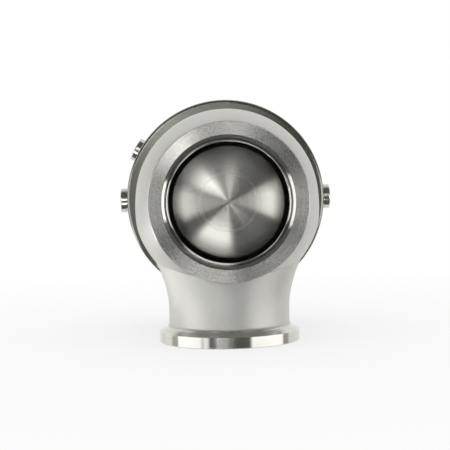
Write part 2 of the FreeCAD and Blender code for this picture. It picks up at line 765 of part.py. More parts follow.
# ---- Diaphragm stack on the stem ----
def diaphragm_plate():
    return turned([
        (STEM_THREAD_R + BORE_GAP, STACK_FRONT_Y),
        (PLATE_R, STACK_FRONT_Y, PLATE_ROUND),
        (PLATE_R, STACK_FRONT_Y + PLATE_T),
        (STEM_THREAD_R + BORE_GAP, STACK_FRONT_Y + PLATE_T),
    ])


def diaphragm():
    """Flat centre, a fold that rolls between cup and cap, and a beaded rim clamped by the cap."""
    inner_near = CUP_R + DIAPHRAGM_WALL_GAP
    inner_far = inner_near + DIAPHRAGM_T
    outer_far = CAP_SKIRT_WALL_R - DIAPHRAGM_WALL_GAP
    outer_near = outer_far - DIAPHRAGM_T
    crown = CLAMP_Y + DIAPHRAGM_CROWN
    under = crown - DIAPHRAGM_T
    crown_round = (outer_far - inner_near) / 2
    bead_floor = CLAMP_Y - (BEAD_T - DIAPHRAGM_T)
    rim_top = CLAMP_Y + DIAPHRAGM_T
    centre_r = STEM_THREAD_R + BORE_GAP
    return turned([
        (centre_r, DIAPHRAGM_Y),
        (inner_far, DIAPHRAGM_Y, CUP_CORNER_R + DIAPHRAGM_T),
        (inner_far, under, crown_round - DIAPHRAGM_T),
        (outer_near, under, crown_round - DIAPHRAGM_T),
        (outer_near, CLAMP_Y, DIAPHRAGM_T),
        (BEAD_R - BEAD_W, CLAMP_Y),
        (BEAD_R - BEAD_W, bead_floor),
        (BEAD_R, bead_floor),
        (BEAD_R, rim_top),
        (outer_far, rim_top),
        (outer_far, crown, crown_round),
        (inner_near, crown, crown_round),
        (inner_near, DIAPHRAGM_Y + DIAPHRAGM_T, CUP_CORNER_R),
        (centre_r, DIAPHRAGM_Y + DIAPHRAGM_T),
    ])


def spring_ridge(mean_r, wire_r):
    """Inner and outer radius of the ridge that centres a spring from inside."""
    outer = mean_r - wire_r - SPRING_RIDGE_GAP
    return outer - SPRING_RIDGE_W, outer


def spring_cup():
    rim_y = CUP_Y + CUP_HEIGHT
    inner_r = CUP_R - CUP_WALL
    ridge_y = CUP_FLOOR_Y + SPRING_RIDGE_H
    big_in, big_out = spring_ridge(OUTER_SPRING_R, OUTER_WIRE_R)
    small_in, small_out = spring_ridge(INNER_SPRING_R, INNER_WIRE_R)
    return turned([
        (STEM_THREAD_R + BORE_GAP, CUP_Y),
        (CUP_R, CUP_Y, CUP_CORNER_R),
        (CUP_R, rim_y),
        (inner_r, rim_y),
        (inner_r, CUP_FLOOR_Y, CUP_CORNER_R - CUP_WALL / 2),
        (big_out, CUP_FLOOR_Y),
        (big_out, ridge_y),
        (big_in, ridge_y),
        (big_in, CUP_FLOOR_Y),
        (small_out, CUP_FLOOR_Y),
        (small_out, ridge_y),
        (small_in, ridge_y),
        (small_in, CUP_FLOOR_Y),
        (STEM_THREAD_R + BORE_GAP, CUP_FLOOR_Y),
    ])


def stem_washer():
    return tube(STEM_WASHER_R, STEM_THREAD_R + BORE_GAP, CUP_FLOOR_Y, NUT_Y)


def stem_nut():
    corner_r = NUT_AF / math.sqrt(3)
    barrel = turned([
        (0, NUT_Y),
        (corner_r - EDGE_BREAK * 2, NUT_Y),
        (corner_r, NUT_Y + EDGE_BREAK),
        (corner_r, NUT_END_Y - EDGE_BREAK),
        (corner_r - EDGE_BREAK * 2, NUT_END_Y),
        (0, NUT_END_Y),
    ])
    body = hexagon(NUT_AF, NUT_Y, NUT_END_Y).common(barrel)
    return body.cut(rod(STEM_THREAD_R + LOCATING_GAP, NUT_Y - 1, NUT_END_Y + 1))


def arc_at_corner(before, corner, after):
    """Arc that meets the runs on both sides of a corner halfway along them."""
    start = (before + corner) * 0.5
    end = (corner + after) * 0.5
    back = (before - corner).normalize()
    ahead = (after - corner).normalize()
    half = back.getAngle(ahead) / 2
    radius = (start - corner).Length * math.tan(half)
    bisector = (back + ahead).normalize()
    middle = corner + bisector * (radius / math.sin(half) - radius)
    return Part.Arc(start, middle, end).toShape()


def coil_path(mean_r, wire_r, active, length):
    """Tangent arcs that wind up a spring, closed for one coil at each end."""
    closed_pitch = 2 * wire_r + COIL_GAP
    active_pitch = (length - 2 * closed_pitch) / active
    corner_r = mean_r / math.cos(math.pi / ARCS_PER_COIL)
    corners = []
    for i in range(-1, round((active + 2) * ARCS_PER_COIL) + 2):
        coil = i / ARCS_PER_COIL
        open_coils = min(max(coil - 1, 0), active)
        height = closed_pitch * (coil - open_coils) + active_pitch * open_coils
        turn = 2 * math.pi * coil
        corners.append(V(corner_r * math.cos(turn), corner_r * math.sin(turn), height))
    return Part.Wire([arc_at_corner(*three) for three in zip(corners, corners[1:], corners[2:])])


def spring(mean_r, wire_r, active):
    """Round-wire compression spring between the cup floor and the cap, its ends ground flat."""
    length = CAP_CEILING_Y - CUP_FLOOR_Y - 2 * SPRING_END_GAP
    path = coil_path(mean_r, wire_r, active, length)
    first = path.Edges[0]
    start = first.FirstParameter
    seam_down = FreeCAD.Rotation(V(0, 0, -1), V(), first.tangentAt(start), "ZXY")
    ring = Part.makeCircle(wire_r)
    ring.Placement = FreeCAD.Placement(first.valueAt(start), seam_down)
    wound = path.makePipeShell([Part.Wire(ring)], True, True)
    reach = 2 * mean_r
    slab = Part.makeBox(2 * reach, 2 * reach, reach, V(-reach, -reach, -reach))
    top_slab = Part.makeBox(2 * reach, 2 * reach, reach, V(-reach, -reach, length))
    ground = wound.cut([slab, top_slab])
    ground.translate(V(0, 0, CUP_FLOOR_Y + SPRING_END_GAP))
    return ground


# ---- Cap ----
def actuator_cap():
    skirt_r = CAP_BORE_R - LOCATING_GAP
    ring_station = CAP_SKIRT_Y + CAP_RING_FROM_SKIRT
    ring_half = CAP_RING_SECTION_R + LOCATING_GAP
    ring_floor = CAP_BORE_R - 2 * CAP_RING_SECTION_R - LOCATING_GAP
    dome_in = CAP_DOME_R - CAP_DOME_WALL
    hub_y = CAP_TOP_Y + CAP_HUB_H
    port_floor = hub_y - CAP_PORT_DEPTH
    recess_top = CAP_BOSS_Y + CAP_STOP_RECESS
    return turned([
        (skirt_r, CAP_SKIRT_Y),
        (skirt_r, ring_station - ring_half),
        (ring_floor, ring_station - ring_half),
        (ring_floor, ring_station + ring_half),
        (skirt_r, ring_station + ring_half),
        (skirt_r, LOCK_RING_Y),
        (CAP_DOME_R, LOCK_RING_Y),
        (CAP_DOME_R, CAP_TOP_Y, CAP_DOME_ROUND),
        (CAP_HUB_R, CAP_TOP_Y),
        (CAP_HUB_R, hub_y, EDGE_BREAK * 2),
        (CAP_PORT_R, hub_y),
        (CAP_PORT_R, port_floor),
        (CAP_VENT_R, port_floor),
        (CAP_VENT_R, recess_top),
        (CAP_STOP_RECESS_R, recess_top),
        (CAP_STOP_RECESS_R, CAP_BOSS_Y),
        (CAP_BOSS_R, CAP_BOSS_Y),
        (CAP_BOSS_R, CAP_CEILING_Y),
        (dome_in, CAP_CEILING_Y, CAP_DOME_ROUND - CAP_DOME_WALL),
        (dome_in, LOCK_RING_Y),
        (CAP_SKIRT_WALL_R, LOCK_RING_Y - CAP_DOME_WALL),
        (CAP_SKIRT_WALL_R, CAP_SKIRT_Y),
    ])


def cap_o_ring():
    return o_ring(CAP_BORE_R - LOCATING_GAP, CAP_RING_SECTION_R, CAP_SKIRT_Y + CAP_RING_FROM_SKIRT)


def cap_lock_ring():
    """Internal snap ring with an ear and a plier hole on each side of its gap."""
    outer = CAP_BORE_R + LOCK_GROOVE_DEPTH - LOCATING_GAP
    inner = outer - LOCK_RING_WIDTH
    end_y = LOCK_RING_Y + LOCK_RING_T
    ring = split_ring(outer, inner, LOCK_RING_Y, end_y, LOCK_RING_OPEN_DEG)
    ear_r = inner + LOCK_EAR_R / 2
    for side in (-1, 1):
        turn = math.radians(side * (LOCK_RING_OPEN_DEG / 2 + LOCK_EAR_BACK_DEG) - 90)
        place = V(ear_r * math.cos(turn), ear_r * math.sin(turn), 0)
        ear = rod(LOCK_EAR_R, LOCK_RING_Y, end_y)
        hole = rod(LOCK_EAR_HOLE_R, LOCK_RING_Y - 1, end_y + 1)
        ear.translate(place)
        hole.translate(place)
        ring = ring.fuse(ear).cut(hole)
    return ring


PIECES_ON_VALVE_AXIS = {
    "valve_seat": valve_seat,
    "valve": valve,
    "valve_guide": valve_guide,
    "heat_gasket": heat_gasket,
    "body_screws": body_screws,
    "body_washers": body_washers,
    "bush_carrier": bush_carrier,
    "stem_bush": stem_bush,
    "stem_seal": stem_seal,
    "carrier_o_rings": carrier_o_rings,
    "carrier_clip": carrier_clip,
    "diaphragm_plate": diaphragm_plate,
    "diaphragm": diaphragm,
    "spring_cup": spring_cup,
    "stem_washer": stem_washer,
    "stem_nut": stem_nut,
    "actuator_cap": actuator_cap,
    "cap_o_ring": cap_o_ring,
    "cap_lock_ring": cap_lock_ring,
}
PIECES_IN_PLACE = {
    "valve_housing": valve_housing,
    "actuator_body": actuator_body,
    "coolant_plugs": coolant_plugs,
    "signal_plug": signal_plug,
    "plug_o_rings": plug_o_rings,
}

os.makedirs("parts", exist_ok=True)
for name, make in PIECES_ON_VALVE_AXIS.items():
    export(name, on_valve_axis(make()))
for name, make in PIECES_IN_PLACE.items():
    export(name, make())
outer_spring = spring(OUTER_SPRING_R, OUTER_WIRE_R, OUTER_ACTIVE_COILS)
inner_spring = spring(INNER_SPRING_R, INNER_WIRE_R, INNER_ACTIVE_COILS)
export("spring_outer", on_valve_axis(outer_spring))
export("spring_inner", on_valve_axis(inner_spring))
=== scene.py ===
"""Finishes, studio and camera for an external turbo wastegate. Metres, +Z up.

The valve axis runs along +Y from the inlet to the actuator, and the outlet faces -Z.
"""

import json
import math

import bpy
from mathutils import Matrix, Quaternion, Vector

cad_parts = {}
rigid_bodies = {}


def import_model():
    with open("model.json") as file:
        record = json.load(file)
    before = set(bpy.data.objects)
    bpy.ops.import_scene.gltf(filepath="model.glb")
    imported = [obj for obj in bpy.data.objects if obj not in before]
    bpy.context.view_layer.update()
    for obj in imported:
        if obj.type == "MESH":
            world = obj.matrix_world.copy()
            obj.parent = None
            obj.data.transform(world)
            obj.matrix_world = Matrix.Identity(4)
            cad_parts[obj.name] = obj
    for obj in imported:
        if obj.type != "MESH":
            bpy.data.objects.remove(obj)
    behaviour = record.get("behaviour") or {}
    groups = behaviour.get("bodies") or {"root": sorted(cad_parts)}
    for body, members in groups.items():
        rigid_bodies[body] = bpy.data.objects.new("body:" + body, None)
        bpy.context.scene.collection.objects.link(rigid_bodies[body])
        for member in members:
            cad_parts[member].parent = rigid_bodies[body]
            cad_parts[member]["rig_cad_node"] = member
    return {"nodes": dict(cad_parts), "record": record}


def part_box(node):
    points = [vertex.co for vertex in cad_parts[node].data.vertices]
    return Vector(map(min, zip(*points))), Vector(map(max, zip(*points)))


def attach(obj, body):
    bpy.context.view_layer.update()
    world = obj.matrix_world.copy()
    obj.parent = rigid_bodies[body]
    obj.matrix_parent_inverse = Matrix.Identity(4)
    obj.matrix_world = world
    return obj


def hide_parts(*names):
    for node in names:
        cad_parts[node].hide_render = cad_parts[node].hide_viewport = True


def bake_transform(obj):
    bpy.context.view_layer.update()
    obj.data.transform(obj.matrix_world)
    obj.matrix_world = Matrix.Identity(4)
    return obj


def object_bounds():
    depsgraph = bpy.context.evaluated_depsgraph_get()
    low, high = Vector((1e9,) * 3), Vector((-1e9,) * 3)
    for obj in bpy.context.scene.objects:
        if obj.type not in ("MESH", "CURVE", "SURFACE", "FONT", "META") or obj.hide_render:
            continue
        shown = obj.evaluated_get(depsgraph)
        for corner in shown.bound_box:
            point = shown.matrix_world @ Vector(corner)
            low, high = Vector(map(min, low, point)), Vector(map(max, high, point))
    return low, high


bl_info = {
    "name": "Turbo Wastegate",
    "version": (1, 0, 0),
    "blender": (4, 5, 0),
    "location": "3D View > Sidebar > Wastegate",
    "description": "Dresses the wastegate's pieces and sets up a plain studio around it",
    "category": "Object",
}

for leftover in list(bpy.data.objects):
    bpy.data.objects.remove(leftover)
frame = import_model()
CAD_BOX = [list(corner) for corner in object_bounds()]
NODES = frame["nodes"]
MOUNTS = {mount["name"]: mount for mount in frame["record"]["mounts"]}

# ---- Places taken from the frame ----
INLET_RIM_R = MOUNTS["inlet_rim"]["dims"]["r_mm"] / 1000
OUTLET_CENTRE = Vector((0, MOUNTS["outlet_rim"]["pos_m"][1], 0))
FLOOR_Z = CAD_BOX[0][2]
INLET_CENTRE = Vector((0, 0, 0))
VALVE_AXIS = Vector((0, 1, 0))
OUTLET_AXIS = Vector((0, 0, 1))

# ---- Where machining stops and casting starts on the housing ----
INLET_MACHINED_DEPTH = 0.0110
OUTLET_MACHINED_HEIGHT = 0.0088
REAR_PAD_START = 0.0702
SLACK = 0.0002

# ---- How far the widest part of the casting's bulb is drawn in, and where that starts ----
BULB_WIDEST_R = 0.0525
BULB_DRAWN_IN = 0.0016
BULB_DRAW_START_R = 0.0425
NECK_START_Z = -0.020
NECK_CLEAR_Z = 0.004

# ---- Meshes and materials ----
MERGE_DISTANCE = 0.000001
SMOOTH_ANGLE = math.radians(28)
GRAIN_HEIGHT = 0.0001

# ---- Studio ----
FLOOR_SIZE = 8
ROOM_RADIUS = 3.5
LAMP_DISTANCE = 1.2
FLOOR_TONE = (0.93, 0.93, 0.93, 1)
FLOOR_LIFT_RADII = (0.10, 0.50)
FLOOR_LIFT = (0.75, 1.0)
DIAPHRAGM_ROLL_HALF = 0.00395


# ---- Settings that a user would change ----
class FinishSettings(bpy.types.PropertyGroup):
    """Colours of the wastegate's finishes."""

    cast_colour: bpy.props.FloatVectorProperty(
        name="Cast steel",
        description="Colour of the blasted casting",
        default=(0.68, 0.675, 0.645),
        size=3,
        min=0,
        max=1,
        subtype="COLOR",
    )
    machined_colour: bpy.props.FloatVectorProperty(
        name="Machined steel",
        description="Colour of the turned stainless faces",
        default=(0.66, 0.655, 0.62),
        size=3,
        min=0,
        max=1,
        subtype="COLOR",
    )
    valve_colour: bpy.props.FloatVectorProperty(
        name="Valve face",
        description="Colour of the turned valve",
        default=(0.66, 0.65, 0.605),
        size=3,
        min=0,
        max=1,
        subtype="COLOR",
    )
    actuator_colour: bpy.props.FloatVectorProperty(
        name="Actuator",
        description="Colour of the anodised aluminium actuator",
        default=(0.30, 0.30, 0.27),
        size=3,
        min=0,
        max=1,
        subtype="COLOR",
    )
    plug_colour: bpy.props.FloatVectorProperty(
        name="Plugs",
        description="Colour of the polished steel plugs",
        default=(0.66, 0.65, 0.61),
        size=3,
        min=0,
        max=1,
        subtype="COLOR",
    )


class StudioSettings(bpy.types.PropertyGroup):
    """Camera, lamps and room."""

    lens: bpy.props.FloatProperty(
        name="Lens",
        description="Focal length on a 36 mm sensor",
        default=99.2,
        min=10,
        max=300,
        unit="CAMERA",
    )
    camera_place: bpy.props.FloatVectorProperty(
        name="Camera place",
        description="Where the camera stands",
        default=(-0.0142, -0.646, 0.0172),
        size=3,
        subtype="TRANSLATION",
        unit="LENGTH",
    )
    camera_right: bpy.props.FloatProperty(
        name="Camera turn",
        description="How far the camera points to the right of the valve axis",
        default=math.radians(1.06),
        subtype="ANGLE",
        unit="ROTATION",
    )
    camera_down: bpy.props.FloatProperty(
        name="Camera tilt",
        description="How far the camera points below the level",
        default=math.radians(2.565),
        subtype="ANGLE",
        unit="ROTATION",
    )
    camera_roll: bpy.props.FloatProperty(
        name="Camera roll",
        description="How far the camera leans about its line of sight",
        default=math.radians(-1.2),
        subtype="ANGLE",
        unit="ROTATION",
    )
    lamp_level: bpy.props.FloatProperty(
        name="Lamp level",
        description="Brightness of the area lamps",
        default=0.8,
        min=0,
    )
    room_level: bpy.props.FloatProperty(
        name="Room level",
        description="Brightness of the dim room around the camera",
        default=0.115,
        min=0,
    )
    ambient_level: bpy.props.FloatProperty(
        name="Ambient level",
        description="Brightness of the light from all round",
        default=0.45,
        min=0,
    )


def finish():
    return bpy.context.scene.wastegate_finish


def studio():
    return bpy.context.scene.wastegate_studio


# ---- Building node trees ----
class Tree:
    """A few short ways of adding and joining nodes in one node tree."""

    def __init__(self, node_tree):
        self.nodes = node_tree.nodes
        self.links = node_tree.links

    def add(self, kind, **settings):
        node = self.nodes.new(kind)
        for name, value in settings.items():
            setattr(node, name, value)
        return node

    def feed(self, socket, value):
        if isinstance(value, bpy.types.NodeSocket):
            self.links.new(value, socket)
        elif value is not None:
            socket.default_value = value

    def math(self, operation, first, second=None, third=None):
        node = self.add("ShaderNodeMath", operation=operation)
        for socket, value in zip(node.inputs, (first, second, third)):
            self.feed(socket, value)
        return node.outputs[0]

    def vector(self, operation, first, second=None):
        node = self.add("ShaderNodeVectorMath", operation=operation)
        self.feed(node.inputs[0], first)
        self.feed(node.inputs[1], second)
        return node.outputs["Value" if operation == "LENGTH" else "Vector"]

    def dot(self, first, second):
        node = self.add("ShaderNodeVectorMath", operation="DOT_PRODUCT")
        self.feed(node.inputs[0], first)
        self.feed(node.inputs[1], second)
        return node.outputs["Value"]

    def noise(self, vector, scale, detail=2.0, roughness=0.5):
        node = self.add("ShaderNodeTexNoise")
        self.feed(node.inputs["Vector"], vector)
        node.inputs["Scale"].default_value = scale
        node.inputs["Detail"].default_value = detail
        node.inputs["Roughness"].default_value = roughness
        return node.outputs["Fac"]

    def ranged(self, value, low, high, to_low=0.0, to_high=1.0):
        node = self.add("ShaderNodeMapRange")
        self.feed(node.inputs["Value"], value)
        for name, number in (
            ("From Min", low),
            ("From Max", high),
            ("To Min", to_low),
            ("To Max", to_high),
        ):
            self.feed(node.inputs[name], number)
        return node.outputs["Result"]

    def mixed(self, factor, first, second):
        node = self.add("ShaderNodeMix", data_type="RGBA")
        self.feed(node.inputs["Factor"], factor)
        colours = [s for s in node.inputs if s.type == "RGBA"]
        self.feed(colours[0], first)
        self.feed(colours[1], second)
        return [s for s in node.outputs if s.type == "RGBA"][0]

    def bump(self, height, strength, distance, normal=None):
        node = self.add("ShaderNodeBump")
        self.feed(node.inputs["Height"], height)
        self.feed(node.inputs["Strength"], strength)
        self.feed(node.inputs["Distance"], distance)
        self.feed(node.inputs["Normal"], normal)
        return node.outputs["Normal"]


def new_group(name, inputs, outputs):
    """Empty shader node group. Inputs are (name, kind, default) and outputs are (name, kind)."""
    group = bpy.data.node_groups.new(name, "ShaderNodeTree")
    for label, kind, default in inputs:
        socket = group.interface.new_socket(label, in_out="INPUT", socket_type=kind)
        if default is not None:
            socket.default_value = default
    for label, kind in outputs:
        group.interface.new_socket(label, in_out="OUTPUT", socket_type=kind)
    tree = Tree(group)
    return group, tree, tree.add("NodeGroupInput").outputs, tree.add("NodeGroupOutput").inputs


FLOAT = "NodeSocketFloat"
VECTOR = "NodeSocketVector"


def turned_lines_group():
    """Fine rings left by a lathe, about the Z axis of the vector that it is given."""
    group, tree, given, wanted = new_group(
        "turned_lines",
        [("Vector", VECTOR, None), ("Lines per metre", FLOAT, 4000.0)],
        [("Height", FLOAT), ("Shade", FLOAT)],
    )
    split = tree.add("ShaderNodeSeparateXYZ")
    tree.feed(split.inputs[0], given["Vector"])
    flat = tree.add("ShaderNodeCombineXYZ")
    tree.feed(flat.inputs[0], split.outputs[0])
    tree.feed(flat.inputs[1], split.outputs[1])
    radius = tree.vector("LENGTH", flat.outputs[0])
    station = tree.add("ShaderNodeCombineXYZ")
    tree.feed(station.inputs[0], tree.math("MULTIPLY", radius, given["Lines per metre"]))
    tree.feed(
        station.inputs[1], tree.math("MULTIPLY", split.outputs[2], given["Lines per metre"])
    )
    fine = tree.noise(station.outputs[0], 1.0, 3.0, 0.65)
    coarse = tree.noise(station.outputs[0], 0.11, 2.0)
    tree.feed(wanted["Height"], fine)
    tree.feed(wanted["Shade"], tree.math("ADD", tree.math("MULTIPLY", coarse, 0.6), 0.2))
    return group


def blasted_grain_group():
    """Fine grain of a blasted casting, with broad tone changes."""
    group, tree, given, wanted = new_group(
        "blasted_grain",
        [("Vector", VECTOR, None), ("Grain per metre", FLOAT, 2600.0)],
        [("Height", FLOAT), ("Shade", FLOAT)],
    )
    scaled = tree.vector("SCALE", given["Vector"])
    tree.feed(scaled.node.inputs["Scale"], given["Grain per metre"])
    fine = tree.noise(scaled, 1.0, 4.0, 0.6)
    broad = tree.noise(scaled, 0.03, 3.0)
    tree.feed(wanted["Height"], fine)
    mottled = tree.math("ADD", tree.math("MULTIPLY", fine, 0.5), tree.math("MULTIPLY", broad, 0.5))
    tree.feed(wanted["Shade"], mottled)
    return group


def handling_marks_group():
    """Specks and dull patches that a bare machined face picks up."""
    group, tree, given, wanted = new_group(
        "handling_marks", [("Vector", VECTOR, None)], [("Specks", FLOAT), ("Scuffs", FLOAT)]
    )
    dots = tree.add("ShaderNodeTexVoronoi")
    tree.feed(dots.inputs["Vector"], given["Vector"])
    dots.inputs["Scale"].default_value = 1500.0
    spot = tree.ranged(dots.outputs["Distance"], 0.10, 0.22, 1.0, 0.0)
    where = tree.ranged(tree.noise(given["Vector"], 160.0, 3.0), 0.50, 0.66)
    tree.feed(wanted["Specks"], tree.math("MULTIPLY", spot, where))
    broad = tree.noise(given["Vector"], 90.0, 4.0, 0.7)
    tree.feed(wanted["Scuffs"], tree.ranged(broad, 0.45, 0.70))
    return group


def turned_form_group():
    """How far a turned face falls away with its radius, about the Z axis of the vector."""
    group, tree, given, wanted = new_group(
        "turned_form",
        [("Vector", VECTOR, None), ("Cone", FLOAT, 0.0), ("Crown", FLOAT, 0.0), ("Edge", FLOAT, 0.0)],
        [("Height", FLOAT)],
    )
    radius = tree.vector("LENGTH", tree.vector("MULTIPLY", given["Vector"], (1.0, 1.0, 0.0)))
    square = tree.math("MULTIPLY", radius, radius)
    fall = tree.math("MULTIPLY", radius, given["Cone"])
    fall = tree.math("MULTIPLY_ADD", square, given["Crown"], fall)
    fall = tree.math("MULTIPLY_ADD", tree.math("MULTIPLY", square, square), given["Edge"], fall)
    tree.feed(wanted["Height"], tree.math("MULTIPLY", fall, -1.0))
    return group


def ring_tone_group():
    """Tone that changes from one value to another between two radii, used to paint shade, with some
    soot, into a recess.
    """
    group, tree, given, wanted = new_group(
        "ring_tone",
        [
            ("Vector", VECTOR, None),
            ("Inner radius", FLOAT, 0.0),
            ("Outer radius", FLOAT, 1.0),
            ("Inner tone", FLOAT, 1.0),
            ("Outer tone", FLOAT, 1.0),
        ],
        [("Tone", FLOAT)],
    )
    radius = tree.vector("LENGTH", tree.vector("MULTIPLY", given["Vector"], (1.0, 1.0, 0.0)))
    ends = [given[name] for name in ("Inner radius", "Outer radius", "Inner tone", "Outer tone")]
    tree.feed(wanted["Tone"], tree.ranged(radius, *ends))
    return group


def card_shape_group():
    """Mask of a rectangular card, seen as a direction from the object."""
    group, tree, given, wanted = new_group(
        "card_shape",
        [
            ("Direction", VECTOR, None),
            ("Centre", VECTOR, None),
            ("Across", VECTOR, None),
            ("Along", VECTOR, None),
            ("Half across", FLOAT, 0.2),
            ("Half along", FLOAT, 0.2),
            ("Edge", FLOAT, 0.03),
        ],
        [("Mask", FLOAT)],
    )
    facing = tree.dot(given["Direction"], given["Centre"])
    mask = tree.ranged(facing, 0.0, 0.05)
    for side, half in (("Across", "Half across"), ("Along", "Half along")):
        reach = tree.math("DIVIDE", tree.dot(given["Direction"], given[side]), facing)
        reach = tree.math("ABSOLUTE", reach)
        inner = tree.math("SUBTRACT", given[half], given["Edge"])
        outer = tree.math("ADD", given[half], given["Edge"])
        mask = tree.math("MULTIPLY", mask, tree.ranged(reach, inner, outer, 1.0, 0.0))
    tree.feed(wanted["Mask"], mask)
    return group


GROUP_MAKERS = (
    turned_lines_group,
    blasted_grain_group,
    handling_marks_group,
    turned_form_group,
    ring_tone_group,
    card_shape_group,
)


def use_group(tree, name, **values):
    """Place a shared node group. Values are given by input name, spaces as underscores."""
    node = tree.add("ShaderNodeGroup", node_tree=bpy.data.node_groups[name])
    for label, value in values.items():
        tree.feed(node.inputs[label.replace("_", " ")], value)
    return node.outputs


def bare_material(name):
    """Material with no nodes yet."""
    material = bpy.data.materials.new(name)
    material.use_nodes = True
    tree = Tree(material.node_tree)
    tree.nodes.clear()
    return material, tree


def new_material(name):
    """Material with one Principled shader."""
    material, tree = bare_material(name)
    shader = tree.add("ShaderNodeBsdfPrincipled")
    output = tree.add("ShaderNodeOutputMaterial")
    tree.feed(output.inputs["Surface"], shader.outputs[0])
    return material, tree, shader


def set_sockets(shader, **values):
    """Constants on the shader's own sockets, spaces as underscores."""
    for label, value in values.items():
        shader.inputs[label.replace("_", " ")].default_value = value


def about_axis(tree, axis, centre):
    """Object coordinates with the turning axis as Z, and the direction that the tool marks run in."""
    place = tree.add("ShaderNodeTexCoord").outputs["Object"]
    offset = tree.vector("SUBTRACT", place, tuple(centre))
    mapping = tree.add("ShaderNodeMapping")
    tree.feed(mapping.inputs["Vector"], offset)
    quarter = math.pi / 2 if axis == VALVE_AXIS else 0.0
    mapping.inputs["Rotation"].default_value = (quarter, 0.0, 0.0)
    along = tree.vector("NORMALIZE", tree.vector("CROSS_PRODUCT", tuple(axis), offset))
    return mapping.outputs[0], along


def turned_metal(
    name,
    colour,
    roughness=0.30,
    anisotropic=0.9,
    axis=VALVE_AXIS,
    centre=Vector((0, 0, 0)),
    lines=4000.0,
    line_depth=0.15,
    marks=0.0,
    cone=0.0,
    crown=0.0,
    edge=0.0,
    shade_and_soot_radii=None,
    shade_and_soot_tones=(1.0, 0.10),
    shade=0.10,
):
    """Lathe-turned metal: highlights spread across the tool marks.

    The face is shaded as if it fell away by cone times its radius, crown times the radius squared
    and edge times its fourth power. Between the two radii of shade_and_soot_radii, the tone goes from
    the first value of shade_and_soot_tones to the second: painted shade for a recess, with some soot.
    """
    material, tree, shader = new_material(name)
    vector, along = about_axis(tree, axis, centre)
    rings = use_group(tree, "turned_lines", Vector=vector, Lines_per_metre=lines)
    tone = tree.ranged(rings["Shade"], 0.3, 0.7, 1 - shade, 1 + shade)
    worn = use_group(tree, "handling_marks", Vector=vector)
    dirt = tree.math("MULTIPLY", worn["Specks"], 0.35 * marks)
    tone = tree.math("MULTIPLY", tone, tree.math("SUBTRACT", 1.0, dirt))
    # Painted shade, with some soot: the tone drops between two radii to darken a recess that lies in
    # shade.
    if shade_and_soot_radii:
        shade_and_soot = use_group(
            tree,
            "ring_tone",
            Vector=vector,
            Inner_radius=shade_and_soot_radii[0],
            Outer_radius=shade_and_soot_radii[1],
            Inner_tone=shade_and_soot_tones[0],
            Outer_tone=shade_and_soot_tones[1],
        )
        tone = tree.math("MULTIPLY", tone, shade_and_soot["Tone"])
    base = tree.vector("SCALE", (*colour,))
    tree.feed(base.node.inputs["Scale"], tone)
    tree.feed(shader.inputs["Base Color"], base)
    uneven = tree.ranged(
        rings["Shade"], 0.3, 0.7, roughness * (1 - shade), roughness * (1 + shade)
    )
    scuffed = tree.math("MULTIPLY", worn["Scuffs"], 0.04 * marks)
    tree.feed(shader.inputs["Roughness"], tree.math("ADD", uneven, scuffed))
    set_sockets(shader, Metallic=1.0, Anisotropic=anisotropic, Anisotropic_Rotation=0.25)
    tree.feed(shader.inputs["Tangent"], along)
    normal = None
    if cone or crown:
        form = use_group(tree, "turned_form", Vector=vector, Cone=cone, Crown=crown, Edge=edge)
        normal = tree.bump(form["Height"], 1.0, 1.0)
    tree.feed(shader.inputs["Normal"], tree.bump(rings["Height"], line_depth, GRAIN_HEIGHT, normal))
    return material


def blasted_metal(name, colour, roughness=0.48, grain=2600.0, depth=0.35, shade=0.06, metallic=1.0):
    """Cast metal after bead blasting: satin, with a fine even grain."""
    material, tree, shader = new_material(name)
    place = tree.add("ShaderNodeTexCoord").outputs["Object"]
    skin = use_group(tree, "blasted_grain", Vector=place, Grain_per_metre=grain)
    tone = tree.ranged(skin["Shade"], 0.35, 0.65, 1 - shade, 1 + shade)
    base = tree.vector("SCALE", (*colour,))
    tree.feed(base.node.inputs["Scale"], tone)
    tree.feed(shader.inputs["Base Color"], base)
    tree.feed(
        shader.inputs["Roughness"],
        tree.ranged(skin["Shade"], 0.3, 0.7, roughness * 0.9, roughness * 1.1),
    )
    set_sockets(shader, Metallic=metallic)
    tree.feed(shader.inputs["Normal"], tree.bump(skin["Height"], depth, GRAIN_HEIGHT))
    return material


def plain_part(name, colour, roughness, metallic=0.0, grain=1500.0, depth=0.2):
    """Rubber, gasket sheet or plated steel with a fine uneven surface."""
    material, tree, shader = new_material(name)
    place = tree.add("ShaderNodeTexCoord").outputs["Object"]
    skin = use_group(tree, "blasted_grain", Vector=place, Grain_per_metre=grain)
    base = tree.vector("SCALE", (*colour,))
    tree.feed(base.node.inputs["Scale"], tree.ranged(skin["Shade"], 0.3, 0.7, 0.85, 1.15))
    tree.feed(shader.inputs["Base Color"], base)
    tree.feed(
        shader.inputs["Roughness"],
        tree.ranged(skin["Shade"], 0.3, 0.7, roughness * 0.85, roughness * 1.15),
    )
    set_sockets(shader, Metallic=metallic)
    tree.feed(shader.inputs["Normal"], tree.bump(skin["Height"], depth, GRAIN_HEIGHT))
    return material


def dress(node, material):
    """Give a piece that keeps its own shape one finish all over."""
    for holder in NODES[node].material_slots:
        holder.material = material


# ---- Housing: the solid with its bulb drawn in, and with machined and cast zones ----
def select_only(piece):
    bpy.ops.object.select_all(action="DESELECT")
    piece.hide_set(False)
    piece.select_set(True)
    bpy.context.view_layer.objects.active = piece


